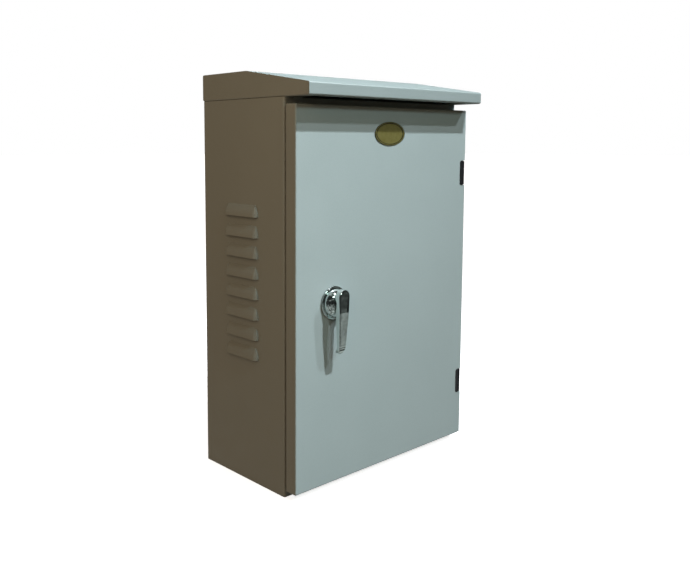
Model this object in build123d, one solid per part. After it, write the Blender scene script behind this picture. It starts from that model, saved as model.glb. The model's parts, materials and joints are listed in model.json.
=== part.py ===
from build123d import *
import math
import os

# Wall-mounted outdoor utility cabinet with a rain canopy, a hinged door and a chrome lever latch.
# Millimetres. X runs across the front to the right, Y from the front to the back, Z up.
# The origin is the centre of the overall footprint, in the plane that the cabinet stands on.

# Body sheets
body_width = 400.0
body_height = 600.0
body_depth = 200.0
sheet = 1.5
bend_radius = 1.5
flange_width = 36.0
lip_depth = 13.0
weld_flange = 12.0

# Door pan
door_depth = 20.8
door_gap = 4.2
door_end_inset = 10.4
door_edge_radius = 2.0

# Rain canopy
canopy_overhang = 29.0
canopy_rise = 42.0
canopy_fascia = 19.0
canopy_flat = 112.5
canopy_side_proud = 0.5
canopy_bend_radius = 3.0
canopy_seat_width = 20.0
canopy_hem = 12.0

# Side louvres
louvre_count = 8
louvre_pitch = 31.7
louvre_first_z = 199.2
louvre_length = 80.0
louvre_height = 18.6
louvre_projection = 7.0
louvre_wall = 1.2

# Corner hinges
hinge_height = 42.5
hinge_plate_width = 15.2
hinge_centers = {"upper": 481.2, "lower": 107.8}
hinge_proud = 0.4
hinge_plate_corner = 4.0
hinge_pin_radius = 1.75
hinge_pin_head = 2.6
hinge_pin_head_height = 0.8
hinge_barrel_radius = 4.2
hinge_middle_knuckle = 14.0
hinge_leaf_thickness = 3.0
hinge_leaf_reach = 12.4
hinge_arm_thickness = 3.0
hinge_foot_thickness = 3.6
hinge_foot_width = 25.0
hinge_screw_radius = 2.0
hinge_screw_spacing = 24.0

# Lever latch
latch_inset = 76.2
latch_height = 293.4
escutcheon_radius = 25.2
escutcheon_edge = 2.6
dome_radius = 21.8
dome_crown_radius = 10.0
dome_height = 14.4
latch_barrel_radius = 11.0
latch_barrel_length = 11.0
latch_nut_flats = 30.0
latch_nut_thickness = 5.0
escutcheon_groove = 0.9
spindle_radius = 6.0
spindle_square = 8.0
spindle_socket = 4.5

# Lever
lever_head_radius = 10.8
lever_tip_radius = 7.0
lever_above = 22.6
lever_below = 76.4
lever_root_thickness = 9.0
lever_end_thickness = 5.6
lever_collar_radius = 8.5
lever_collar_height = 0.8
lever_curl_radius = 18.0
lever_curl_angle = 50.0
lever_curl_height = 15.0
lever_edge_radius = 1.8
lever_facet_width = 15.0
lever_facet_drop = 12.4
lever_facet_depth = 1.7

# Tongue of the latch
tongue_thickness = 3.0
tongue_width = 18.0
tongue_catch = 8.0
tongue_tail = 10.0
tongue_hub_reach = 12.0
tongue_crank_run = 16.0
tongue_bend_radius = 2.0
tongue_corner = 6.0
tongue_flange_gap = 1.5
tongue_screw_radius = 2.5
tongue_screw_length = 10.0

# Oval badge
badge_width = 70.0
badge_height = 37.0
badge_center_z = 548.0
badge_thickness = 1.0
badge_border = 2.2
badge_field_depth = 0.3

# Seals
door_seal_width = 12.0
door_seal_corner = 3.0
latch_seal_thickness = 1.0
latch_seal_radius = 22.4
gland_seal_thickness = 3.0

# Mounting plate on studs
plate_width = 310.0
plate_height = 510.0
plate_sheet = 2.0
plate_edge_fold = 8.0
plate_standoff = 14.0
plate_stud_inset_x = 20.0
plate_stud_inset_z = 20.0
plate_stud_radius = 4.0
plate_spacer_radius = 8.0

# Gland plate in the floor
gland_opening_width = 250.0
gland_opening_depth = 110.0
gland_opening_corner = 8.0
gland_overlap = 18.0
gland_plate_sheet = 2.0
gland_center_y = 28.0
gland_stud_radius = 2.5

# Wall fixing holes and earth studs
wall_hole_radius = 4.5
wall_hole_inset = 25.0
earth_stud_radius = 3.0
earth_stud_side_inset = 20.0
earth_stud_back_inset = 67.0
door_earth_inset = 19.0
door_earth_rise = 28.0

# Canopy screws
canopy_screw_radius = 3.0
canopy_screw_inset = 10.5
canopy_screw_end_inset = 27.0

# Clearances
screw_clearance = 0.3
running_clearance = 0.05
seal_clearance = 0.2
notch_clearance = 0.3
sheet_relief = 3.0
tongue_end_play = 0.3

# How far the cut of a hole passes the faces that it opens
cut_margin = 1.0

# Ratios of metric fasteners to their thread radius
nut_flats_ratio = 3.25
nut_height_ratio = 1.6
head_height_ratio = 1.3
thread_lead_ratio = 0.25
washer_ratio = 2.1
washer_thickness = 1.2
stud_tail = 2.0
hexagon_sides = 6
crown_ratio = 0.97

# Positions that follow from the sizes
total_depth = canopy_overhang + door_depth + door_gap + body_depth
back_y = total_depth / 2
canopy_front_y = -total_depth / 2
body_front_y = back_y - body_depth
door_back_y = body_front_y - door_gap
door_front_y = door_back_y - door_depth
door_inner_y = door_front_y + sheet
wall_inner_y = back_y - sheet
half_width = body_width / 2
wall_inner_x = half_width - sheet
opening_x = half_width - flange_width
lip_front_y = body_front_y - lip_depth
flange_back_y = body_front_y + sheet
door_bottom_z = door_end_inset
door_top_z = body_height - door_end_inset
latch_x = -half_width + latch_inset
hinge_axis_x = half_width - hinge_barrel_radius
hinge_axis_y = door_front_y + hinge_barrel_radius
hinge_plate_x = half_width - hinge_plate_width
seal_center_x = opening_x + sheet / 2
seal_inner_x = seal_center_x - door_seal_width / 2
seal_bottom_z = flange_width - sheet / 2 + door_seal_width / 2


def block(x0, x1, y0, y1, z0, z1):
    """A box between two corners."""
    middle = ((x0 + x1) / 2, (y0 + y1) / 2, (z0 + z1) / 2)
    return Pos(*middle) * Box(abs(x1 - x0), abs(y1 - y0), abs(z1 - z0))


def rod(x, y0, y1, z, radius):
    """A cylinder along Y."""
    return Pos(x, (y0 + y1) / 2, z) * Rot(90, 0, 0) * Cylinder(radius, abs(y1 - y0))


def post(x, y, z0, z1, radius):
    """A cylinder along Z."""
    return Pos(x, y, (z0 + z1) / 2) * Cylinder(radius, abs(z1 - z0))


def group(solids):
    """Separate solids kept together as one node."""
    return Compound(children=list(solids))


def turned(axial_points, place):
    """A body turned from (radius, height) points about the local Z of a place."""
    outline = Plane.XZ * make_face(Polyline(*axial_points, close=True))
    return place * revolve(outline, Axis.Z)


def facing_front(x, y, z):
    """A place whose local Z points out of the front, towards -Y."""
    return Pos(x, y, z) * Rot(90, 0, 0)


def facing_back(x, y, z):
    """A place whose local Z points into the cabinet, towards +Y."""
    return Pos(x, y, z) * Rot(-90, 0, 0)


# Fasteners


def nut(place, thread_radius):
    """A hexagonal nut that stands on a place and grows along its local Z."""
    flats = thread_radius * nut_flats_ratio
    height = thread_radius * nut_height_ratio
    return hexagon(place, flats, height) - place * Pos(0, 0, height / 2) * Cylinder(
        thread_radius + running_clearance, height * 2
    )


def hexagon(place, flats, height):
    """A hexagonal prism with its upper corners turned off."""
    prism = extrude(RegularPolygon(flats / 2, hexagon_sides, major_radius=False), height)
    corner_radius = flats / 2 / math.cos(math.pi / hexagon_sides)
    top_radius = flats / 2 * crown_ratio
    crown = Pos(0, 0, height / 2) * Cone(corner_radius + height, top_radius, height)
    return place * (prism & crown)


def washer(place, thread_radius):
    """A flat washer that lies on a place."""
    ring = Circle(thread_radius * washer_ratio) - Circle(thread_radius + screw_clearance)
    return place * extrude(ring, washer_thickness)


def stud(place, thread_radius, length):
    """A welded stud with a chamfered end."""
    return turned([(0, 0), (thread_radius, 0), *thread_end(thread_radius, length)], place)


def thread_end(thread_radius, length):
    """The outline of a thread's chamfered end, from its flank to its axis."""
    lead = thread_radius * thread_lead_ratio
    return [(thread_radius, length - lead), (thread_radius - lead, length), (0, length)]


def hex_screw(place, thread_radius, length):
    """A hexagonal screw: its shank runs along the local Z and its head lies behind the place."""
    head_height = thread_radius * head_height_ratio
    head = hexagon(place * Rot(180, 0, 0), thread_radius * nut_flats_ratio, head_height)
    return head + stud(place, thread_radius, length)


def countersunk_screw(place, thread_radius, length):
    """A countersunk screw: its head is flush with the place and its shank runs along the local Z."""
    head = [(0, 0), (thread_radius * 2, 0), (thread_radius, thread_radius)]
    return turned([*head, *thread_end(thread_radius, length)], place)


def countersink(place, thread_radius, depth):
    """The hole that a countersunk screw needs, a clearance larger all round."""
    shank = thread_radius + screw_clearance
    points = [(0, 0), (shank + thread_radius, 0), (shank, thread_radius), (shank, depth), (0, depth)]
    return turned(points, place)


# Folded sheets


def offset_corner(before, corner, after, distance):
    """The corner of a polyline moved to its right by a distance."""
    ux, uy = unit(before, corner)
    vx, vy = unit(corner, after)
    turn = ux * vy - uy * vx
    spread = ux * vx + uy * vy
    lean = distance * math.tan(math.atan2(turn, spread) / 2)
    return corner[0] + uy * distance + ux * lean, corner[1] - ux * distance + uy * lean


def unit(start, end):
    """The direction from one point to another."""
    length = math.hypot(end[0] - start[0], end[1] - start[1])
    return (end[0] - start[0]) / length, (end[1] - start[1]) / length


def folded_section(points, thickness, inner_radius):
    """The section of a bent sheet: points follow one face, and the sheet lies on their right."""
    first = unit(points[0], points[1])
    last = unit(points[-2], points[-1])
    offsets = [(points[0][0] + first[1] * thickness, points[0][1] - first[0] * thickness)]
    near_radii = []
    far_radii = []
    for before, corner, after in zip(points, points[1:], points[2:]):
        offsets.append(offset_corner(before, corner, after, thickness))
        arriving = unit(before, corner)
        leaving = unit(corner, after)
        turn = arriving[0] * leaving[1] - arriving[1] * leaving[0]
        near_radii.append(inner_radius if turn > 0 else inner_radius + thickness)
        far_radii.append(inner_radius + thickness if turn > 0 else inner_radius)
    offsets.append((points[-1][0] + last[1] * thickness, points[-1][1] - last[0] * thickness))
    near = FilletPolyline(*points, radius=near_radii)
    far = FilletPolyline(*offsets, radius=far_radii)
    caps = [Line(points[0], offsets[0]), Line(points[-1], offsets[-1])]
    return make_face([*near.edges(), *far.edges(), *caps])


# Body


def wrap_strip(with_lips, z0, z1):
    """A height of the folded wrap: front flange, side, back, side and front flange."""
    lip_x = -opening_x - sheet
    left = [(lip_x, lip_front_y), (lip_x, body_front_y)] if with_lips else [(-opening_x, body_front_y)]
    left += [(-half_width, body_front_y), (-half_width, back_y)]
    right = [(-x, y) for x, y in reversed(left)]
    section = folded_section(left + right, sheet, bend_radius)
    return Pos(0, 0, z0) * extrude(section, z1 - z0)


def louvre_section(projection, height, drop):
    """Half the profile of a pressed hood: upright at its open lip, leaning into the wall at its top."""
    lines = [Line((0, -drop), (-projection, -drop))]
    if drop:
        lines.append(Line((-projection, -drop), (-projection, 0)))
    lines.append(TangentArc((-projection, 0), (0, height), tangent=(0, 1)))
    lines.append(Line((0, height), (0, -drop)))
    return Plane.XZ * make_face(lines)


def louvre_form(projection, height, drop):
    """The form of a hood that stands out of the plane x = 0 towards -X, with rounded ends."""
    straight = louvre_length / 2 - louvre_projection
    section = louvre_section(projection, height, drop)
    form = extrude(section, straight, both=True)
    for side in (-1, 1):
        form += Pos(0, side * straight, 0) * revolve(section, Axis.Z)
    return form


def louvre_z(index):
    """The height of a louvre's lip."""
    return louvre_first_z + index * louvre_pitch


def add_louvres(wrap):
    """Press the hoods out of both sides."""
    center_y = (body_front_y + back_y) / 2
    outer = louvre_form(louvre_projection, louvre_height, 0)
    inner = louvre_form(louvre_projection - louvre_wall, louvre_height - 2 * louvre_wall, sheet)
    outside = block(-louvre_length, 0, -louvre_length, louvre_length, -sheet, louvre_height)
    hood = (outer & outside) - inner
    window = wall_window(inner)
    hoods = []
    windows = []
    for index in range(louvre_count):
        for turn in (0, 180):
            place = Rot(0, 0, turn) * Pos(-half_width, 0, louvre_z(index))
            place = Pos(0, center_y, 0) * place
            hoods.append(place * hood)
            windows.append(place * window)
    return wrap - windows + hoods


def wall_window(inner):
    """The hood's inner outline pushed straight through the sheet."""
    half = inner & block(-sheet, 0, -louvre_length, louvre_length, 0, louvre_height)
    face = half.faces().sort_by(Axis.X)[-1]
    return extrude(face, sheet * 2, dir=(1, 0, 0)) + extrude(face, sheet / 2, dir=(-1, 0, 0))


def wall_holes():
    """Four holes in the back for wall fixings."""
    holes = []
    for x in (-half_width + wall_hole_inset, half_width - wall_hole_inset):
        for z in (wall_hole_inset, body_height - wall_hole_inset):
            holes.append(rod(x, wall_inner_y - sheet, back_y + sheet, z, wall_hole_radius))
    return holes


def body_wrap():
    """The wrap with its gutter lips, louvres, wall holes and hinge screw holes."""
    wrap = wrap_strip(False, 0, flange_width)
    wrap += wrap_strip(True, flange_width, body_height - flange_width)
    wrap += wrap_strip(False, body_height - flange_width, body_height)
    wrap = add_louvres(wrap)
    wrap -= wall_holes()
    wrap -= [
        rod(x, body_front_y - sheet, flange_back_y + sheet, z, hinge_screw_radius + screw_clearance)
        for x, z in hinge_foot_screws()
    ]
    return wrap


def end_panel():
    """The top panel: weld flanges at the back and sides, front flange and gutter lip at the front."""
    long_section = folded_section(
        [
            (lip_front_y, body_height - flange_width + sheet),
            (body_front_y, body_height - flange_width + sheet),
            (body_front_y, body_height),
            (wall_inner_y, body_height),
            (wall_inner_y, body_height - weld_flange),
        ],
        sheet,
        bend_radius,
    )
    cross_section = folded_section(
        [
            (-wall_inner_x, body_height - weld_flange),
            (-wall_inner_x, body_height),
            (wall_inner_x, body_height),
            (wall_inner_x, body_height - weld_flange),
        ],
        sheet,
        bend_radius,
    )
    panel = extrude(Plane.YZ * long_section, wall_inner_x, both=True)
    rear_relief = wall_inner_y - sheet_relief
    front_relief = flange_back_y + sheet_relief
    cross = extrude(Plane.XZ * cross_section, body_depth * 2, both=True)
    panel += cross & block(-half_width, half_width, front_relief, rear_relief, 0, body_height)
    low = body_height - flange_width - weld_flange
    lip_cut_y = lip_front_y - cut_margin
    for side in (-1, 1):
        panel -= block(side * opening_x, side * half_width, lip_cut_y, flange_back_y, low, body_height)
        edge_x = side * (wall_inner_x - sheet_relief)
        panel -= block(edge_x, side * half_width, rear_relief, back_y, low, body_height)
        panel -= block(edge_x, side * half_width, flange_back_y, front_relief, low, body_height)
    return panel


def canopy_screw_places():
    """Where the canopy is screwed to the top panel."""
    places = []
    for x in (-half_width + canopy_screw_inset, half_width - canopy_screw_inset):
        for y in (body_front_y + canopy_screw_end_inset, back_y - canopy_screw_end_inset):
            places.append((x, y))
    return places


def screw_hole(x, y, z0, z1, thread_radius):
    """A clearance hole along Z."""
    return post(x, y, z0, z1, thread_radius + screw_clearance)


def top_panel():
    """The top panel with the canopy's screw holes."""
    low = body_height - 2 * sheet
    high = body_height + sheet
    return end_panel() - [screw_hole(x, y, low, high, canopy_screw_radius) for x, y in canopy_screw_places()]


def gland_opening(z0, z1):
    """The prism of the cable opening in the floor."""
    outline = RectangleRounded(gland_opening_width, gland_opening_depth, gland_opening_corner)
    return Pos(0, gland_center_y, z0) * extrude(outline, z1 - z0)


def bottom_panel():
    """The bottom panel: the top panel's mirror image with the cable opening in place of the screw holes."""
    middle = Plane.XY.offset(body_height / 2)
    return mirror(end_panel(), middle) - gland_opening(-sheet, 2 * sheet)


# Rain canopy


def canopy_profile(inset):
    """The canopy's side profile, drawn in by an inset."""
    ridge_y = back_y - canopy_flat
    top_z = body_height + canopy_rise
    slope = math.atan2(canopy_rise - canopy_fascia, ridge_y - canopy_front_y)
    shift = inset * math.tan(slope / 2)
    eave_drop = inset / math.cos(slope) - inset * math.tan(slope)
    corners = [
        (back_y - inset, body_height + inset),
        (back_y - inset, top_z - inset),
        (ridge_y + shift, top_z - inset),
        (canopy_front_y + inset, body_height + canopy_fascia - eave_drop),
        (canopy_front_y + inset, body_height + inset),
    ]
    return Plane.YZ * make_face(Polyline(*corners, close=True))


def canopy_form(inset):
    """The solid inside a face of the canopy, with its bends rounded."""
    half = half_width + canopy_side_proud - inset
    form = extrude(canopy_profile(inset), half, both=True)
    upper_bends = form.edges().filter_by(Axis.X).sort_by(Axis.Z)[2:]
    lower_bends = form.faces().sort_by(Axis.Z)[0].edges()
    return fillet(upper_bends + lower_bends, canopy_bend_radius - inset)


def rain_canopy():
    """The folded canopy: open underneath, with seats that rest on the body and a hem behind the fascia."""
    canopy = canopy_form(0) - canopy_form(sheet)
    seat_x = half_width + canopy_side_proud - canopy_seat_width
    mouth_front = canopy_front_y + canopy_hem
    mouth_back = back_y - canopy_seat_width
    low = body_height - sheet
    high = body_height + 2 * sheet
    canopy -= block(-seat_x, seat_x, mouth_front, mouth_back, low, high)
    return canopy - [screw_hole(x, y, low, high, canopy_screw_radius) for x, y in canopy_screw_places()]


def canopy_screws():
    """Screws put in from inside the body."""
    length = 2 * sheet + canopy_screw_radius * nut_height_ratio + stud_tail
    under = body_height - sheet
    return group(hex_screw(Pos(x, y, under), canopy_screw_radius, length) for x, y in canopy_screw_places())


def canopy_nuts():
    """Nuts on the canopy's seats."""
    return group(nut(Pos(x, y, body_height + sheet), canopy_screw_radius) for x, y in canopy_screw_places())


# Mounting plate


def plate_stud_places():
    """The four studs that carry the mounting plate."""
    center_z = body_height / 2
    xs = plate_width / 2 - plate_stud_inset_x
    zs = plate_height / 2 - plate_stud_inset_z
    return [(x, center_z + z) for x in (-xs, xs) for z in (-zs, zs)]


plate_back_y = wall_inner_y - plate_standoff
plate_front_y = plate_back_y - plate_sheet


def mounting_plate():
    """A flat plate whose long edges are folded back."""
    half = plate_width / 2
    section = folded_section(
        [
            (half, plate_front_y + plate_edge_fold),
            (half, plate_front_y),
            (-half, plate_front_y),
            (-half, plate_front_y + plate_edge_fold),
        ],
        plate_sheet,
        bend_radius,
    )
    bottom = body_height / 2 - plate_height / 2
    plate = Pos(0, 0, bottom) * extrude(section, plate_height)
    hole = plate_stud_radius + screw_clearance
    return plate - [rod(x, plate_front_y - sheet, wall_inner_y, z, hole) for x, z in plate_stud_places()]


def plate_studs():
    """Studs welded to the back."""
    clamped = plate_standoff + plate_sheet + washer_thickness
    length = clamped + plate_stud_radius * nut_height_ratio + stud_tail
    places = [facing_front(x, wall_inner_y, z) for x, z in plate_stud_places()]
    return group(stud(place, plate_stud_radius, length) for place in places)


def plate_spacers():
    """Tubes that hold the plate off the back."""
    ring = Circle(plate_spacer_radius) - Circle(plate_stud_radius + screw_clearance)
    tube = extrude(ring, plate_standoff)
    return group(facing_front(x, wall_inner_y, z) * tube for x, z in plate_stud_places())


def plate_washers():
    """Washers under the plate's nuts."""
    return group(washer(facing_front(x, plate_front_y, z), plate_stud_radius) for x, z in plate_stud_places())


def plate_nuts():
    """Nuts that clamp the mounting plate."""
    seat_y = plate_front_y - washer_thickness
    return group(nut(facing_front(x, seat_y, z), plate_stud_radius) for x, z in plate_stud_places())


# Gland plate


gland_plate_width = gland_opening_width + 2 * gland_overlap
gland_plate_depth = gland_opening_depth + 2 * gland_overlap
gland_seal_top = sheet + gland_seal_thickness
gland_plate_top = gland_seal_top + gland_plate_sheet


def gland_stud_places():
    """Studs round the cable opening: three along each long side."""
    dx = gland_plate_width / 2 - gland_overlap / 2
    dy = gland_plate_depth / 2 - gland_overlap / 2
    return [(x, gland_center_y + y) for x in (-dx, 0, dx) for y in (-dy, dy)]


def gland_stud_holes(z0, z1):
    """Clearance holes for the gland plate's studs."""
    return [screw_hole(x, y, z0, z1, gland_stud_radius) for x, y in gland_stud_places()]


def gland_blank(z, thickness):
    """A rounded rectangle that covers the cable opening and its border."""
    outline = RectangleRounded(gland_plate_width, gland_plate_depth, gland_opening_corner)
    blank = Pos(0, gland_center_y, z) * extrude(outline, thickness)
    return blank - gland_stud_holes(z - sheet, z + thickness + sheet)


def gland_seal():
    """The flat seal ring under the gland plate."""
    return gland_blank(sheet, gland_seal_thickness) - gland_opening(0, gland_plate_top)


def gland_plate():
    """The blank plate that closes the cable opening from inside."""
    return gland_blank(gland_seal_top, gland_plate_sheet)


def gland_studs():
    """Studs welded to the floor."""
    length = gland_seal_thickness + gland_plate_sheet + gland_stud_radius * nut_height_ratio + stud_tail
    return group(stud(Pos(x, y, sheet), gland_stud_radius, length) for x, y in gland_stud_places())


def gland_nuts():
    """Nuts that clamp the gland plate."""
    return group(nut(Pos(x, y, gland_plate_top), gland_stud_radius) for x, y in gland_stud_places())


# Door


def door_pan():
    """The door: a folded pan with a latch hole and two corner notches for the hinges."""
    outer = block(-half_width, half_width, door_front_y, door_back_y, door_bottom_z, door_top_z)
    front_edges = outer.faces().sort_by(Axis.Y)[0].edges()
    corner_edges = outer.edges().filter_by(Axis.Y)
    outer = fillet([*front_edges, *corner_edges], door_edge_radius)
    inner = block(
        -wall_inner_x, wall_inner_x, door_inner_y, body_front_y, door_bottom_z + sheet, door_top_z - sheet
    )
    inner_edges = inner.faces().sort_by(Axis.Y)[0].edges() + inner.edges().filter_by(Axis.Y)
    inner = fillet(inner_edges, door_edge_radius - sheet)
    pan = outer - inner - [hinge_notch(z) for z in hinge_centers.values()]
    hole_radius = latch_barrel_radius + screw_clearance
    return pan - rod(latch_x, door_front_y - cut_margin, door_inner_y + cut_margin, latch_height, hole_radius)


def hinge_notch(center_z):
    """The cut in the door's front and right rim that a hinge fills."""
    half = hinge_height / 2 + notch_clearance
    left = hinge_plate_x - notch_clearance
    right = half_width + cut_margin
    front = door_front_y - cut_margin
    back = door_back_y + cut_margin
    notch = block(left, right, front, back, center_z - half, center_z + half)
    inside_edges = notch.edges().filter_by(Axis.Y).sort_by(Axis.X)[:2]
    return fillet(inside_edges, hinge_plate_corner + notch_clearance)


def door_seal():
    """The seal ring on the inside of the door, where the gutter lip meets it."""
    width = 2 * seal_inner_x
    height = body_height - 2 * seal_bottom_z
    inner = RectangleRounded(width, height, door_seal_corner)
    border = 2 * door_seal_width
    outer = RectangleRounded(width + border, height + border, door_seal_corner + door_seal_width)
    thickness = lip_front_y - door_inner_y - seal_clearance
    return facing_back(0, door_inner_y, body_height / 2) * extrude(outer - inner, thickness)


def badge_plate():
    """The oval plate with a raised border."""
    place = facing_front(0, door_front_y, badge_center_z)
    plate = extrude(Ellipse(badge_width / 2, badge_height / 2), badge_thickness)
    field = Ellipse(badge_width / 2 - badge_border, badge_height / 2 - badge_border)
    plate -= Pos(0, 0, badge_thickness - badge_field_depth) * extrude(field, badge_thickness)
    return place * plate


# Hinges


def hinge_stud_x():
    """The line of the studs that carry a hinge's door leaf."""
    return hinge_plate_x - hinge_leaf_reach / 2


def hinge_foot_screws():
    """The screws that hold the body leaves."""
    x = half_width - hinge_foot_width / 2
    spread = hinge_screw_spacing / 2
    return [(x, z + side * spread) for z in hinge_centers.values() for side in (-1, 1)]


def hinge_door_stud_places():
    """The studs that hold the door leaves."""
    spread = hinge_screw_spacing / 2
    return [(hinge_stud_x(), z + side * spread) for z in hinge_centers.values() for side in (-1, 1)]


def knuckle(z0, z1):
    """A length of the hinge barrel with its pin bore."""
    return post(hinge_axis_x, hinge_axis_y, z0, z1, hinge_barrel_radius) - pin_bore(z0, z1)


def pin_bore(z0, z1):
    """The bore for a hinge pin."""
    radius = hinge_pin_radius + running_clearance
    return post(hinge_axis_x, hinge_axis_y, z0 - cut_margin, z1 + cut_margin, radius)


def hinge_door_leaf(center_z):
    """The leaf on the door: a plate in the notch, a tab behind the sheet and the middle knuckle."""
    half = hinge_height / 2
    bottom = center_z - hinge_middle_knuckle / 2
    top = center_z + hinge_middle_knuckle / 2
    tab_back = door_inner_y + hinge_leaf_thickness
    plate_end = hinge_axis_x - hinge_barrel_radius - notch_clearance
    plate = hinge_plate(hinge_plate_x, plate_end, door_front_y - hinge_proud, door_inner_y, center_z)
    tab = hinge_plate(hinge_plate_x - hinge_leaf_reach, plate_end, door_inner_y, tab_back, center_z)
    web = block(plate_end, hinge_axis_x, door_front_y + hinge_proud, hinge_axis_y, bottom, top)
    leaf = plate + tab + web - pin_bore(center_z - half, center_z + half) + knuckle(bottom, top)
    hole = hinge_screw_radius + screw_clearance
    for side in (-1, 1):
        z = center_z + side * hinge_screw_spacing / 2
        leaf -= rod(hinge_stud_x(), door_inner_y - cut_margin, tab_back + cut_margin, z, hole)
    return leaf


def hinge_plate(x0, x1, y0, y1, center_z):
    """A plate of the hinge's height with rounded corners on the side away from the barrel."""
    half = hinge_height / 2
    plate = block(x0, x1, y0, y1, center_z - half, center_z + half)
    return fillet(plate.edges().filter_by(Axis.Y).sort_by(Axis.X)[:2], hinge_plate_corner)


def hinge_body_leaf(center_z):
    """The leaf on the body: two outer knuckles, an arm through the notch and a screwed foot."""
    half = hinge_height / 2
    bottom = center_z - half
    top = center_z + half
    foot_front = body_front_y - hinge_foot_thickness
    arm = block(half_width - hinge_arm_thickness, half_width, hinge_axis_y, body_front_y, bottom, top)
    foot = block(half_width - hinge_foot_width, half_width, foot_front, body_front_y, bottom, top)
    leaf = arm + foot
    inner = hinge_middle_knuckle / 2 + notch_clearance
    outer = half - hinge_pin_head_height
    relief = hinge_barrel_radius + notch_clearance
    leaf -= post(hinge_axis_x, hinge_axis_y, center_z - inner, center_z + inner, relief)
    for side in (-1, 1):
        near_z = center_z + side * inner
        far_z = center_z + side * outer
        end_z = center_z + side * (half + cut_margin)
        leaf -= post(hinge_axis_x, hinge_axis_y, far_z, end_z, relief)
        leaf += post(hinge_axis_x, hinge_axis_y, near_z, far_z, hinge_barrel_radius)
    leaf -= pin_bore(bottom, top)
    for x, z in hinge_foot_screws():
        place = facing_back(x, foot_front, z)
        leaf -= countersink(place, hinge_screw_radius, hinge_foot_thickness + cut_margin)
    return leaf


def hinge_pin(center_z):
    """The pin, with a small head at each end."""
    half = hinge_height / 2
    shoulder = half - hinge_pin_head_height
    points = [
        (0, -half),
        (hinge_pin_head, -half),
        (hinge_pin_head, -shoulder),
        (hinge_pin_radius, -shoulder),
        (hinge_pin_radius, shoulder),
        (hinge_pin_head, shoulder),
        (hinge_pin_head, half),
        (0, half),
    ]
    return turned(points, Pos(hinge_axis_x, hinge_axis_y, center_z))


def hinge_screws():
    """Countersunk screws through the hinge feet and the body flange."""
    foot_front = body_front_y - hinge_foot_thickness
    length = hinge_foot_thickness + sheet + hinge_screw_radius * nut_height_ratio + stud_tail
    places = [facing_back(x, foot_front, z) for x, z in hinge_foot_screws()]
    return group(countersunk_screw(place, hinge_screw_radius, length) for place in places)


def hinge_screw_nuts():
    """Nuts behind the body flange."""
    return group(nut(facing_back(x, flange_back_y, z), hinge_screw_radius) for x, z in hinge_foot_screws())


def hinge_door_studs():
    """Studs welded inside the door."""
    length = hinge_leaf_thickness + hinge_screw_radius * nut_height_ratio + stud_tail
    places = [facing_back(x, door_inner_y, z) for x, z in hinge_door_stud_places()]
    return group(stud(place, hinge_screw_radius, length) for place in places)


def hinge_door_nuts():
    """Nuts that clamp the door leaves."""
    seat = door_inner_y + hinge_leaf_thickness
    return group(nut(facing_back(x, seat, z), hinge_screw_radius) for x, z in hinge_door_stud_places())


# Latch


housing_seat_y = door_front_y - latch_seal_thickness
housing_top_y = housing_seat_y - dome_height
lever_back_y = housing_top_y - lever_collar_height
barrel_end_y = door_inner_y + latch_barrel_length
tongue_hub_y = barrel_end_y + tongue_end_play
tongue_hub_back_y = tongue_hub_y + tongue_thickness
tongue_tip_y = flange_back_y + tongue_flange_gap
tongue_reach = latch_inset - flange_width + tongue_catch


def latch_seal():
    """The flat ring between the escutcheon and the door."""
    ring = Circle(latch_seal_radius) - Circle(latch_barrel_radius + screw_clearance)
    return facing_front(latch_x, door_front_y, latch_height) * extrude(ring, latch_seal_thickness)


def latch_housing():
    """The escutcheon with its rolled edge and dome, and the threaded barrel behind it."""
    bore = spindle_radius + running_clearance
    barrel_z = housing_seat_y - barrel_end_y
    rim = (escutcheon_radius, 0)
    crest = (escutcheon_radius - escutcheon_edge / 2, escutcheon_edge)
    groove = (escutcheon_radius - escutcheon_edge, escutcheon_groove)
    foot = (dome_radius, escutcheon_groove)
    crown = (dome_crown_radius, dome_height)
    outline = [
        Line((bore, barrel_z), (latch_barrel_radius, barrel_z)),
        Line((latch_barrel_radius, barrel_z), (latch_barrel_radius, 0)),
        Line((latch_barrel_radius, 0), rim),
        ThreePointArc(rim, crest, groove),
        Line(groove, foot),
        TangentArc(foot, crown, tangent=(0, 1)),
        Line(crown, (bore, dome_height)),
        Line((bore, dome_height), (bore, barrel_z)),
    ]
    body = revolve(Plane.XZ * make_face(outline), Axis.Z)
    return facing_front(latch_x, housing_seat_y, latch_height) * body


def latch_nut():
    """The large nut that clamps the housing to the door."""
    place = facing_back(latch_x, door_inner_y, latch_height)
    bore_length = 2 * (latch_nut_thickness + cut_margin)
    bore = place * Cylinder(latch_barrel_radius + running_clearance, bore_length)
    return hexagon(place, latch_nut_flats, latch_nut_thickness) - bore


def lever_outline():
    """The lever from the front: a round head that tapers to a round tip."""
    head_z = lever_above - lever_head_radius
    tip_z = -lever_below + lever_tip_radius
    lean = math.asin((lever_head_radius - lever_tip_radius) / (head_z - tip_z))
    side = (math.cos(lean), -math.sin(lean))
    head = (lever_head_radius * side[0], head_z + lever_head_radius * side[1])
    tip = (lever_tip_radius * side[0], tip_z + lever_tip_radius * side[1])
    return make_face(
        [
            ThreePointArc((-head[0], head[1]), (0, lever_above), head),
            Line(head, tip),
            ThreePointArc(tip, (0, -lever_below), (-tip[0], tip[1])),
            Line((-tip[0], tip[1]), (-head[0], head[1])),
        ]
    )


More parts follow.
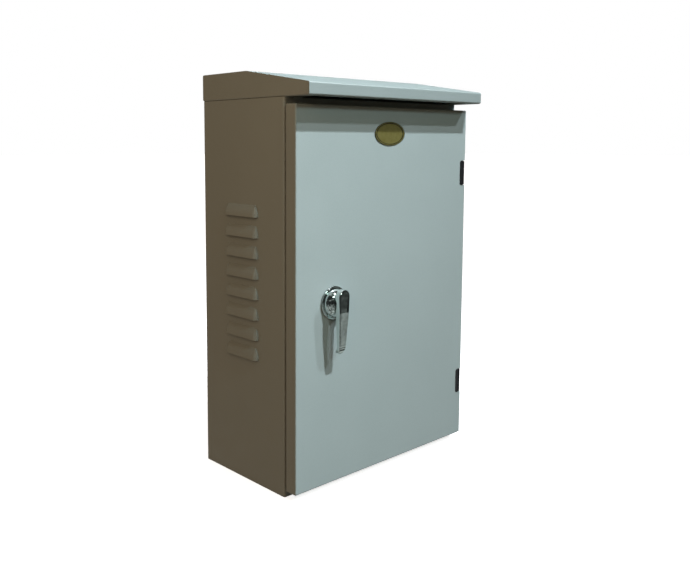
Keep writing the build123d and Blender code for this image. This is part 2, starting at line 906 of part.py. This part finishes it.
def lever_side():
    """The lever from the side: x is the distance in front of its back face."""
    curl_z = -lever_below + lever_curl_height
    back_end = lever_curl_point(lever_curl_radius)
    front_end = lever_curl_point(lever_curl_radius + lever_end_thickness)
    return make_face(
        [
            Line((0, lever_above), (0, curl_z)),
            TangentArc((0, curl_z), back_end, tangent=(0, -1)),
            Line(back_end, front_end),
            TangentArc((lever_end_thickness, curl_z), front_end, tangent=(0, -1)),
            Line((lever_end_thickness, curl_z), (lever_root_thickness, -lever_facet_drop)),
            Line((lever_root_thickness, -lever_facet_drop), (lever_root_thickness, lever_above)),
            Line((lever_root_thickness, lever_above), (0, lever_above)),
        ]
    )


def lever_curl_point(radius):
    """The end of the tip's curl at a radius from the curl's centre."""
    angle = math.radians(lever_curl_angle)
    curl_z = -lever_below + lever_curl_height
    return -lever_curl_radius + radius * math.cos(angle), curl_z - radius * math.sin(angle)


def lever_facet():
    """The cutter of the arched facet on the head: deepest at the step below it."""
    radius = lever_facet_width / 2
    spring_z = lever_above - lever_head_radius
    top_z = spring_z + radius
    arch = make_face(
        [
            Line((-radius, -lever_facet_drop), (radius, -lever_facet_drop)),
            Line((radius, -lever_facet_drop), (radius, spring_z)),
            ThreePointArc((radius, spring_z), (0, top_z), (-radius, spring_z)),
            Line((-radius, spring_z), (-radius, -lever_facet_drop)),
        ]
    )
    lean = math.degrees(math.atan2(lever_facet_depth, top_z + lever_facet_drop))
    cutter = extrude(Plane.XZ * arch, lever_root_thickness)
    return Pos(0, -lever_root_thickness, top_z) * Rot(lean, 0, 0) * Pos(0, 0, -top_z) * cutter


def latch_lever():
    """The cast lever: tapered, curled at its tip, with an arched facet on its head and a collar behind it."""
    side_plane = Plane(origin=(0, 0, 0), x_dir=(0, -1, 0), z_dir=(-1, 0, 0))
    side = extrude(side_plane * lever_side(), lever_head_radius * 2, both=True)
    outline = extrude(Plane.XZ * lever_outline(), lever_below, both=True)
    lever = side & outline
    front_edges = lever.edges().filter_by(lambda edge: edge.center().Y < -lever_end_thickness / 2)
    lever = fillet(front_edges, lever_edge_radius)
    lever -= lever_facet()
    lever += rod(0, 0, lever_collar_height, 0, lever_collar_radius)
    lever -= rod(0, -spindle_socket, lever_collar_height, 0, spindle_radius + running_clearance)
    return Pos(latch_x, lever_back_y, latch_height) * lever


def latch_spindle():
    """The spindle: round through the housing and square where it carries the tongue."""
    front_y = lever_back_y - spindle_socket
    round_part = rod(latch_x, front_y, tongue_hub_y, latch_height, spindle_radius)
    square = spindle_bar(tongue_hub_y, tongue_hub_back_y, spindle_square)
    hole_start = tongue_hub_back_y - tongue_screw_length
    hole_end = tongue_hub_back_y + cut_margin
    hole_radius = tongue_screw_radius + running_clearance
    return round_part + square - rod(latch_x, hole_start, hole_end, latch_height, hole_radius)


def spindle_bar(y0, y1, width):
    """A square bar on the spindle's axis."""
    half = width / 2
    return block(latch_x - half, latch_x + half, y0, y1, latch_height - half, latch_height + half)


def latch_tongue():
    """The cranked tongue, pointing up while the lever hangs down."""
    crank = tongue_tip_y - tongue_hub_y
    crank_end = tongue_hub_reach + tongue_crank_run
    path = [(tongue_reach, crank), (crank_end, crank), (tongue_hub_reach, 0), (-tongue_tail, 0)]
    plane = Plane(origin=(latch_x, tongue_hub_y, latch_height), x_dir=(0, 0, 1), z_dir=(-1, 0, 0))
    section = plane * folded_section(path, tongue_thickness, tongue_bend_radius)
    strip = extrude(section, tongue_width / 2, both=True)
    ends = strip.edges().filter_by(Axis.Y).group_by(Axis.Z)
    strip = fillet([*ends[0], *ends[-1]], tongue_corner)
    hole_width = spindle_square + 2 * running_clearance
    return strip - spindle_bar(tongue_hub_y - cut_margin, tongue_hub_back_y + cut_margin, hole_width)


def latch_washer():
    """The washer behind the tongue."""
    return washer(facing_back(latch_x, tongue_hub_back_y, latch_height), tongue_screw_radius)


def latch_screw():
    """The screw that holds the tongue on the spindle."""
    seat = facing_front(latch_x, tongue_hub_back_y + washer_thickness, latch_height)
    return hex_screw(seat, tongue_screw_radius, tongue_screw_length)


# Earth studs


def body_earth_place():
    """Where the body's earth stud stands on the floor."""
    return Pos(half_width - earth_stud_side_inset, back_y - earth_stud_back_inset, sheet)


def door_earth_place():
    """Where the door's earth stud stands."""
    return facing_back(-seal_inner_x + door_earth_inset, door_inner_y, seal_bottom_z + door_earth_rise)


def earth_stud(place):
    """A stud long enough for a washer and a nut."""
    length = washer_thickness + earth_stud_radius * nut_height_ratio + stud_tail
    return stud(place, earth_stud_radius, length)


def earth_nut(place):
    """The nut on an earth stud's washer."""
    return nut(place * Pos(0, 0, washer_thickness), earth_stud_radius)


def body_nodes():
    """The pieces fixed to the body."""
    return {
        "body_wrap": body_wrap(),
        "top_panel": top_panel(),
        "bottom_panel": bottom_panel(),
        "rain_canopy": rain_canopy(),
        "canopy_screws": canopy_screws(),
        "canopy_nuts": canopy_nuts(),
        "plate_studs": plate_studs(),
        "plate_spacers": plate_spacers(),
        "mounting_plate": mounting_plate(),
        "plate_washers": plate_washers(),
        "plate_nuts": plate_nuts(),
        "gland_studs": gland_studs(),
        "gland_seal": gland_seal(),
        "gland_plate": gland_plate(),
        "gland_nuts": gland_nuts(),
        "body_earth_stud": earth_stud(body_earth_place()),
        "body_earth_washer": washer(body_earth_place(), earth_stud_radius),
        "body_earth_nut": earth_nut(body_earth_place()),
    }


def door_nodes():
    """The pieces that swing with the door."""
    return {
        "door_pan": door_pan(),
        "door_seal": door_seal(),
        "badge_plate": badge_plate(),
        "door_earth_stud": earth_stud(door_earth_place()),
        "door_earth_washer": washer(door_earth_place(), earth_stud_radius),
        "door_earth_nut": earth_nut(door_earth_place()),
    }


def hinge_nodes():
    """The two hinges and what fastens them."""
    pieces = {}
    for name, center_z in hinge_centers.items():
        pieces[f"{name}_hinge_body_leaf"] = hinge_body_leaf(center_z)
        pieces[f"{name}_hinge_door_leaf"] = hinge_door_leaf(center_z)
        pieces[f"{name}_hinge_pin"] = hinge_pin(center_z)
    pieces["hinge_screws"] = hinge_screws()
    pieces["hinge_screw_nuts"] = hinge_screw_nuts()
    pieces["hinge_door_studs"] = hinge_door_studs()
    pieces["hinge_door_nuts"] = hinge_door_nuts()
    return pieces


def latch_nodes():
    """The latch: the housing on the door and what turns in it."""
    return {
        "latch_seal": latch_seal(),
        "latch_housing": latch_housing(),
        "latch_nut": latch_nut(),
        "latch_lever": latch_lever(),
        "latch_spindle": latch_spindle(),
        "latch_tongue": latch_tongue(),
        "latch_washer": latch_washer(),
        "latch_screw": latch_screw(),
    }


os.makedirs("parts", exist_ok=True)
for node, solid in {**body_nodes(), **door_nodes(), **hinge_nodes(), **latch_nodes()}.items():
    export_step(solid, f"parts/{node}.step")
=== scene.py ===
import json
import math

import bmesh
import bpy
from mathutils import Matrix, Vector


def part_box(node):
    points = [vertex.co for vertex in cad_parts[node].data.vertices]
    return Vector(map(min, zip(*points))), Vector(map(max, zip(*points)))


# An outdoor utility cabinet: its finishes, studio and camera. Metres, +Z up, front towards -Y.

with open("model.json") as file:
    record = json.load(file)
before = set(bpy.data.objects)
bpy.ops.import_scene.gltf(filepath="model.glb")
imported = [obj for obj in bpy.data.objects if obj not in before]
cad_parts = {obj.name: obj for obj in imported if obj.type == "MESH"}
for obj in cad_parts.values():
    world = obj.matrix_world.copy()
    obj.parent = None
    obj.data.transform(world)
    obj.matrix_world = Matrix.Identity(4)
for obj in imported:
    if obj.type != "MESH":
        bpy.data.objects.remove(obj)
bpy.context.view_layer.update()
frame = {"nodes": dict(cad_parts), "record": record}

# The photograph's frame and the camera that was solved from the cabinet's edges
PHOTO_WIDTH = 690
PHOTO_HEIGHT = 581
FOCAL_PIXELS = 786.46
PRINCIPAL_POINT = (292.65, 223.59)
SENSOR_WIDTH = 36.0
CAMERA_PLACE = (-0.946975, -0.935035, 0.534207)
CAMERA_PITCH_DOWN = 5.886
CAMERA_YAW = -41.529

# Lamps: name, place, aim, size, watts, colour, spread in degrees, and whether shiny parts mirror it
LEFT_AIM = (-0.6, -0.1, 0.3)
SIDE_AIM = (-0.2, 0.03, 0.62)
COOL_WHITE = (0.96, 1.0, 1.06)
GREENISH = (0.82, 1.0, 0.98)
WARM = (1.0, 0.68, 0.43)
LAMPS = (
    ("key", (0.92, -2.30, 4.54), LEFT_AIM, (0.26, 0.12), 34.8, COOL_WHITE, 58.5, True),
    ("right", (2.41, -2.25, 3.54), LEFT_AIM, (0.22, 0.12), 8.8, COOL_WHITE, 58.5, True),
    ("low", (-0.26, -1.95, 1.73), LEFT_AIM, (0.60, 0.24), 3.7, GREENISH, 100, True),
    ("warm_side", (-1.1, -0.5, 0.95), SIDE_AIM, (0.5, 0.5), 0.54, WARM, 90, False),
)

# The room's light on matt surfaces, by side, and its share low down and high up
ROOM_LEFT = (0.252, 0.155, 0.095)
ROOM_FRONT = (0.022, 0.042, 0.044)
ROOM_REAR = (0.80, 0.80, 0.78)
ROOM_LOW_SHARE = 0.90
ROOM_HIGH_SHARE = 1.0

# What shiny surfaces mirror, from straight down to straight up: (height, brightness), its tint and patches
MIRRORED_ROOM = (
    (0.0, 0.30),
    (0.30, 0.27),
    (0.41, 0.18),
    (0.44, 0.03),
    (0.63, 0.025),
    (0.67, 0.30),
    (0.71, 0.03),
    (0.90, 0.03),
    (0.96, 0.30),
    (1.0, 0.30),
)
MIRRORED_TINT = (0.92, 1.0, 0.96)
PATCH_DARK = (0.12, 0.12, 0.12)
PATCH_LIGHT = (1.75, 1.8, 1.8)

# The floor: half its side, its greys, and its glow near the cabinet and far away
FLOOR_REACH = 30.0
FLOOR_DARK = (0.86, 0.86, 0.86)
FLOOR_LIGHT = (0.88, 0.88, 0.88)
FLOOR_GLOW_NEAR = 0.84
FLOOR_GLOW_FAR = 1.06
FLOOR_GLOW_RANGE = (0.9, 2.6)

# Colours, as linear values
BLACK = (0.0, 0.0, 0.0)
WHITE = (1.0, 1.0, 1.0)
PAINT = (0.317, 0.392, 0.386)
PAINT_LIGHTER = (0.330, 0.407, 0.401)
FLECK_DARK = (0.94, 0.94, 0.94)
FLECK_LIGHT = (1.04, 1.04, 1.04)
CHROME = (0.76, 0.81, 0.79)
CHROME_DARK = (0.66, 0.71, 0.69)
RUBBER = (0.012, 0.012, 0.012)
RUBBER_LIGHTER = (0.028, 0.028, 0.028)
HINGE_BLACK = (0.006, 0.006, 0.007)
HINGE_LIGHTER = (0.014, 0.014, 0.016)
PIN_DARK = (0.05, 0.05, 0.055)
PIN_LIGHT = (0.12, 0.12, 0.12)
ZINC = (0.52, 0.53, 0.52)
ZINC_DARK = (0.34, 0.35, 0.36)
# Painted shade for the roots of a thread
THREAD_ROOT_SHADE = (0.10, 0.10, 0.105)
SPANGLE_DARK = (0.42, 0.44, 0.45)
SPANGLE_LIGHT = (0.60, 0.62, 0.63)
GOLD = (0.152, 0.139, 0.038)
GOLD_LIGHT = (0.19, 0.178, 0.058)
BADGE_INK = (0.012, 0.014, 0.008)

# Painted shade in the paint's corners, from ambient occlusion: how far from a corner, how open it is there,
# and how dark
CORNER_REACH = 0.02
CORNER_OPENNESS = (0.15, 0.60)
CORNER_SHADE = 0.30
CORNER_SAMPLES = 8

# The canopy's front strip gets painted shade, a shade darker, and the lever's head leans back by this much
# over its height
CANOPY_FRONT = (-0.126, -0.122)
CANOPY_FRONT_SHADE = 0.83
LEVER_HEAD = (0.281, 0.314)
LEVER_LEAN = 0.0034

# The badge from its middle to its rim: (radius, 1 where it is dark)
BADGE_LINES = ((0.0, 0), (0.845, 0), (0.865, 1), (0.905, 1), (0.925, 0), (0.965, 0), (0.985, 1))

# The part of a noise's range that holds nearly all of it
NOISE_RANGE = (0.3, 0.7)

# Grained finishes: metallic, grains a metre, detail, two colours and the noise that they span, roughness,
# and the relief's height and strength
GRAINED = {
    "seal_rubber": (0.0, 300.0, 3.0, RUBBER, RUBBER_LIGHTER, NOISE_RANGE, (0.70, 0.88), 0.0002, 0.6),
    "hinge_black": (0.0, 500.0, 2.0, HINGE_BLACK, HINGE_LIGHTER, (0.3, 0.75), (0.32, 0.46), 0.00008, 0.6),
    "hinge_steel": (1.0, 400.0, 3.0, PIN_DARK, PIN_LIGHT, NOISE_RANGE, (0.28, 0.45), 0.00004, 0.5),
    "zinc": (1.0, 220.0, 3.0, ZINC_DARK, ZINC, NOISE_RANGE, (0.22, 0.42), 0.00005, 0.5),
}

# Threaded studs: the axis that the thread follows and its pitch
THREADS = {
    "plate_studs": ("Y", 0.00125),
    "gland_studs": ("Z", 0.0008),
    "body_earth_stud": ("Z", 0.001),
    "door_earth_stud": ("Y", 0.001),
    "hinge_door_studs": ("Y", 0.0007),
}

# Nodes whose finish differs from their record slot
OWN_FINISHES = {
    "rain_canopy": "canopy_shaded_paint",
    "latch_lever": "lever_chrome",
    **{node: node + "_thread" for node in THREADS},
}

# A mix node's colour sockets, by number because their names repeat
MIX_FACTOR = 0
MIX_FIRST = 6
MIX_SECOND = 7
MIX_RESULT = 2


def add(tree, kind, **settings):
    """A shader node with its properties set."""
    node = tree.nodes.new(kind)
    for name, value in settings.items():
        setattr(node, name, value)
    return node


def feed(tree, node, inputs):
    """Link each input that is given a socket, and set the others."""
    for name, value in inputs.items():
        if isinstance(value, bpy.types.NodeSocket):
            tree.links.new(value, node.inputs[name])
        else:
            node.inputs[name].default_value = value


def new_material(name, metallic):
    """A material, its tree and shader, and the object's own coordinates."""
    material = bpy.data.materials.new(name)
    material.use_nodes = True
    tree = material.node_tree
    shader = tree.nodes["Principled BSDF"]
    feed(tree, shader, {"Metallic": metallic})
    place = add(tree, "ShaderNodeTexCoord").outputs["Object"]
    return material, tree, shader, place


def noise(tree, place, scale, detail=2.0, roughness=0.5):
    """Noise whose scale is in cycles a metre."""
    node = add(tree, "ShaderNodeTexNoise")
    feed(tree, node, {"Vector": place, "Scale": scale, "Detail": detail, "Roughness": roughness})
    return node.outputs["Fac"]


def ramp(tree, value, stops):
    """A colour ramp through stops of a position and a colour."""
    node = add(tree, "ShaderNodeValToRGB")
    feed(tree, node, {"Fac": value})
    elements = node.color_ramp.elements
    first, *middle, last = stops
    for element, (position, color) in ((elements[0], first), (elements[1], last)):
        element.position = position
        element.color = (*color, 1)
    for position, color in middle:
        elements.new(position).color = (*color, 1)
    return node.outputs["Color"]


def spread(tree, value, low, high, to_low, to_high):
    """A value mapped from one range to another."""
    node = add(tree, "ShaderNodeMapRange")
    feed(tree, node, {"Value": value, "From Min": low, "From Max": high, "To Min": to_low, "To Max": to_high})
    return node.outputs["Result"]


def compute(tree, operation, first, second):
    """Arithmetic on two numbers."""
    node = add(tree, "ShaderNodeMath", operation=operation)
    feed(tree, node, {0: first, 1: second})
    return node.outputs["Value"]


def combine(tree, mode, first, second, factor=1.0):
    """Two colours mixed, multiplied or added."""
    node = add(tree, "ShaderNodeMix", data_type="RGBA", blend_type=mode)
    feed(tree, node, {MIX_FACTOR: factor, MIX_FIRST: first, MIX_SECOND: second})
    return node.outputs[MIX_RESULT]


def scaled(tree, color, factor):
    """A colour made darker or lighter."""
    node = add(tree, "ShaderNodeVectorMath", operation="SCALE")
    feed(tree, node, {"Vector": color, "Scale": factor})
    return node.outputs["Vector"]


def length(tree, vector):
    """A vector's length."""
    node = add(tree, "ShaderNodeVectorMath", operation="LENGTH")
    feed(tree, node, {"Vector": vector})
    return node.outputs["Value"]


def axis(tree, vector, name):
    """One of a vector's three numbers."""
    node = add(tree, "ShaderNodeSeparateXYZ")
    feed(tree, node, {"Vector": vector})
    return node.outputs[name]


def relief(tree, shader, height, distance, strength=1.0, under=None):
    """A bump of a real height in metres, over an earlier one where it is given."""
    node = add(tree, "ShaderNodeBump")
    feed(tree, node, {"Height": height, "Distance": distance, "Strength": strength})
    if under:
        feed(tree, node, {"Normal": under})
    feed(tree, shader, {"Normal": node.outputs["Normal"]})
    return node.outputs["Normal"]


def paint_material(name, front_shade=1.0):
    """Powder coat: orange peel, a faint mottle and painted shade in its corners; painted shade makes the
    canopy's front strip darker.
    """
    material, tree, shader, place = new_material(name, metallic=0.0)
    mottle = noise(tree, place, scale=9.0, detail=3.0)
    base = ramp(tree, mottle, ((0.35, PAINT), (0.70, PAINT_LIGHTER)))
    speck = noise(tree, place, scale=900.0, roughness=0.6)
    fleck = ramp(tree, speck, ((0.30, FLECK_DARK), (0.75, FLECK_LIGHT)))
    color = combine(tree, "MULTIPLY", base, fleck)
    # Painted shade: the canopy's front strip is darkened by front_shade.
    strip = spread(tree, axis(tree, place, "Y"), *CANOPY_FRONT, front_shade, 1.0)
    # Painted shade: the colour darkens where ambient occlusion finds a corner close by, as shade would fall
    # there.
    corner = add(tree, "ShaderNodeAmbientOcclusion", samples=CORNER_SAMPLES)
    feed(tree, corner, {"Distance": CORNER_REACH})
    corner_shading = spread(tree, corner.outputs["AO"], *CORNER_OPENNESS, CORNER_SHADE, 1.0)
    shaded_color = scaled(tree, scaled(tree, color, strip), corner_shading)
    gloss = noise(tree, place, scale=35.0, detail=3.0)
    rough = spread(tree, gloss, *NOISE_RANGE, to_low=0.36, to_high=0.46)
    feed(tree, shader, {"Base Color": shaded_color, "Roughness": rough, "Specular IOR Level": 0.4})
    peel = noise(tree, place, scale=420.0, roughness=0.55)
    relief(tree, shader, peel, distance=0.00006, strength=0.6)
    return material


def chrome_material(name, lean=0.0):
    """Polished chrome with faint polishing waves, and for the lever a head that leans back a little."""
    material, tree, shader, place = new_material(name, metallic=1.0)
    shade = noise(tree, place, scale=60.0)
    color = ramp(tree, shade, zip(NOISE_RANGE, (CHROME_DARK, CHROME)))
    smear = noise(tree, place, scale=140.0, detail=3.0)
    rough = spread(tree, smear, low=0.35, high=0.75, to_low=0.03, to_high=0.09)
    feed(tree, shader, {"Base Color": color, "Roughness": rough})
    wave = noise(tree, place, scale=75.0, detail=1.0)
    waves = relief(tree, shader, wave, distance=0.0004, strength=0.5)
    if lean:
        crown = spread(tree, axis(tree, place, "Z"), *LEVER_HEAD, to_low=1.0, to_high=0.0)
        relief(tree, shader, crown, distance=lean, under=waves)
    return material


def grained_material(name, metallic, scale, detail, dark, light, span, roughness, height, strength):
    """A plain finish whose colour, gloss and relief all follow one grain."""
    material, tree, shader, place = new_material(name, metallic)
    grain = noise(tree, place, scale, detail)
    color = ramp(tree, grain, zip(span, (dark, light)))
    feed(tree, shader, {"Base Color": color, "Roughness": spread(tree, grain, *NOISE_RANGE, *roughness)})
    relief(tree, shader, grain, height, strength)
    return material


def threaded_material(name, axis_name, pitch):
    """Zinc plate on a thread whose turns follow one axis, with painted shade in the thread's roots."""
    material, tree, shader, place = new_material(name, metallic=1.0)
    turns = compute(tree, "MULTIPLY", axis(tree, place, axis_name), 1 / pitch)
    flank = compute(tree, "PINGPONG", turns, 0.5)
    # Painted shade: the colour darkens towards each thread's root.
    color = ramp(tree, flank, ((0.0, THREAD_ROOT_SHADE), (0.35, ZINC)))
    shade = noise(tree, place, scale=220.0, detail=3.0)
    rough = spread(tree, shade, *NOISE_RANGE, to_low=0.24, to_high=0.40)
    feed(tree, shader, {"Base Color": color, "Roughness": rough})
    relief(tree, shader, flank, distance=pitch * 0.9, strength=0.8)
    return material


def galvanised_material(name):
    """Galvanised sheet with spangles."""
    material, tree, shader, place = new_material(name, metallic=1.0)
    spangle = add(tree, "ShaderNodeTexVoronoi", feature="F1")
    feed(tree, spangle, {"Vector": place, "Scale": 90.0})
    grain = add(tree, "ShaderNodeSeparateColor")
    feed(tree, grain, {"Color": spangle.outputs["Color"]})
    color = ramp(tree, grain.outputs["Red"], ((0.0, SPANGLE_DARK), (1.0, SPANGLE_LIGHT)))
    rough = spread(tree, grain.outputs["Green"], low=0.0, high=1.0, to_low=0.28, to_high=0.50)
    feed(tree, shader, {"Base Color": color, "Roughness": rough})
    relief(tree, shader, grain.outputs["Blue"], distance=0.00003, strength=0.5)
    return material


def badge_material(name):
    """Satin olive-gold plate with a dark line inside its rim."""
    material, tree, shader, place = new_material(name, metallic=0.3)
    low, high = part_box("badge_plate")
    center = [(a + b) / 2 for a, b in zip(low, high)]
    half_x = (high[0] - low[0]) / 2
    half_z = (high[2] - low[2]) / 2
    oval = add(tree, "ShaderNodeMapping")
    shift = (-center[0] / half_x, 0, -center[2] / half_z)
    feed(tree, oval, {"Vector": place, "Location": shift, "Scale": (1 / half_x, 0, 1 / half_z)})
    radius = length(tree, oval.outputs["Vector"])
    lines = ramp(tree, radius, [(position, (value,) * 3) for position, value in BADGE_LINES])
    cloud = noise(tree, place, scale=120.0, detail=3.0)
    gold = ramp(tree, cloud, zip(NOISE_RANGE, (GOLD, GOLD_LIGHT)))
    color = combine(tree, "MIX", gold, (*BADGE_INK, 1), lines)
    brush = noise(tree, place, scale=600.0)
    rough = spread(tree, brush, *NOISE_RANGE, to_low=0.28, to_high=0.42)
    feed(tree, shader, {"Base Color": color, "Roughness": rough})
    relief(tree, shader, brush, distance=0.00003, strength=0.4)
    return material


def make_materials():
    """Every finish by its name."""
    materials = {name: grained_material(name, *row) for name, row in GRAINED.items()}
    for node, (axis_name, pitch) in THREADS.items():
        name = OWN_FINISHES[node]
        materials[name] = threaded_material(name, axis_name, pitch)
    materials["paint"] = paint_material("paint")
    # The canopy's paint has painted shade on its front strip.
    materials["canopy_shaded_paint"] = paint_material("canopy_shaded_paint", CANOPY_FRONT_SHADE)
    materials["chrome"] = chrome_material("chrome")
    materials["lever_chrome"] = chrome_material("lever_chrome", LEVER_LEAN)
    materials["galvanised"] = galvanised_material("galvanised")
    materials["badge"] = badge_material("badge")
    return materials


def dress_nodes():
    """Give every carried-over node its finish, by its record slot or its own."""
    materials = make_materials()
    finishes = {row["node"]: row["material_slot"] for row in frame["record"]["subparts"]}
    finishes.update(OWN_FINISHES)
    for name, node in frame["nodes"].items():
        for slot in node.material_slots:
            slot.material = materials[finishes[name]]


def make_camera():
    """The camera at the photograph's viewpoint."""
    data = bpy.data.cameras.new("camera")
    data.sensor_width = SENSOR_WIDTH
    data.lens = FOCAL_PIXELS / PHOTO_WIDTH * SENSOR_WIDTH
    data.shift_x = (PHOTO_WIDTH / 2 - PRINCIPAL_POINT[0]) / PHOTO_WIDTH
    data.shift_y = (PRINCIPAL_POINT[1] - PHOTO_HEIGHT / 2) / PHOTO_WIDTH
    data.dof.use_dof = False
    camera = bpy.data.objects.new("camera", data)
    camera.location = CAMERA_PLACE
    camera.rotation_euler = (math.radians(90 - CAMERA_PITCH_DOWN), 0, math.radians(CAMERA_YAW))
    bpy.context.scene.collection.objects.link(camera)
    bpy.context.scene.camera = camera


def make_lamp(name, place, aim, size, watts, color, spread_angle, mirrored):
    """A soft rectangular lamp that points at its aim, its long side as near level as that allows."""
    data = bpy.data.lights.new(name, "AREA")
    data.shape = "RECTANGLE"
    data.size, data.size_y = size
    data.energy = watts
    data.color = color
    data.spread = math.radians(spread_angle)
    lamp = bpy.data.objects.new(name, data)
    lamp.location = place
    lamp.visible_glossy = mirrored
    back = (Vector(place) - Vector(aim)).normalized()
    up = back.cross(Vector((1, 0, 0))).normalized()
    lamp.rotation_euler = Matrix((up.cross(back), up, back)).transposed().to_euler()
    bpy.context.scene.collection.objects.link(lamp)


def make_lamps():
    """Three small lamps at the front, whose shadows step down the door, and a soft warm one at the left."""
    for lamp in LAMPS:
        make_lamp(*lamp)


def mirrored_room(tree, around, height):
    """A grey room of uneven brightness with a lit strip under its ceiling."""
    levels = [(place, [value * part for part in MIRRORED_TINT]) for place, value in MIRRORED_ROOM]
    shades = ramp(tree, spread(tree, height, -1.0, 1.0, 0.0, 1.0), levels)
    clutter = noise(tree, around, scale=4.5, detail=3.0, roughness=0.6)
    patches = ramp(tree, clutter, ((0.42, PATCH_DARK), (0.58, PATCH_LIGHT)))
    return combine(tree, "MULTIPLY", shades, patches)


def make_world():
    """White to the camera; as light, a dim warm room on the left, a dark front and a bright rear right."""
    world = bpy.data.worlds.new("studio")
    bpy.context.scene.world = world
    world.use_nodes = True
    tree = world.node_tree
    around = add(tree, "ShaderNodeTexCoord").outputs["Generated"]
    height = axis(tree, around, "Z")
    rightward = spread(tree, axis(tree, around, "X"), low=-0.30, high=0.30, to_low=0.0, to_high=1.0)
    behind = spread(tree, axis(tree, around, "Y"), low=0.0, high=0.4, to_low=0.0, to_high=1.0)
    sides = ramp(tree, rightward, ((0.0, ROOM_LEFT), (1.0, ROOM_FRONT)))
    rear = ramp(tree, compute(tree, "MULTIPLY", rightward, behind), ((0.4, BLACK), (1.0, ROOM_REAR)))
    share = spread(tree, height, -1.0, 1.0, ROOM_LOW_SHARE, ROOM_HIGH_SHARE)
    light = scaled(tree, combine(tree, "ADD", sides, rear), share)
    rays = add(tree, "ShaderNodeLightPath")
    seen = combine(tree, "MIX", light, mirrored_room(tree, around, height), rays.outputs["Is Glossy Ray"])
    room = tree.nodes["Background"]
    feed(tree, room, {"Color": seen})
    white = add(tree, "ShaderNodeBackground")
    feed(tree, white, {"Color": (*WHITE, 1)})
    choice = add(tree, "ShaderNodeMixShader")
    shaders = {1: room.outputs["Background"], 2: white.outputs["Background"]}
    feed(tree, choice, {0: rays.outputs["Is Camera Ray"], **shaders})
    feed(tree, tree.nodes["World Output"], {"Surface": choice.outputs["Shader"]})


def make_floor():
    """A plain pale floor that lights nothing, so the shaded side stays in shade."""
    mesh = bpy.data.meshes.new("floor")
    form = bmesh.new()
    bmesh.ops.create_grid(form, x_segments=1, y_segments=1, size=FLOOR_REACH)
    form.to_mesh(mesh)
    form.free()
    floor = bpy.data.objects.new("floor", mesh)
    floor.visible_diffuse = False
    floor.visible_glossy = False
    material, tree, shader, place = new_material("floor", metallic=0.0)
    shade = noise(tree, place, scale=0.7)
    color = ramp(tree, shade, zip(NOISE_RANGE, (FLOOR_DARK, FLOOR_LIGHT)))
    glow = spread(tree, length(tree, place), *FLOOR_GLOW_RANGE, FLOOR_GLOW_NEAR, FLOOR_GLOW_FAR)
    feed(tree, shader, {"Base Color": color, "Roughness": 0.9})
    feed(tree, shader, {"Emission Color": (*WHITE, 1), "Emission Strength": glow})
    mesh.materials.append(material)
    bpy.context.scene.collection.objects.link(floor)


dress_nodes()
make_floor()
make_lamps()
make_world()
make_camera()
bpy.context.scene.view_settings.view_transform = "Standard"
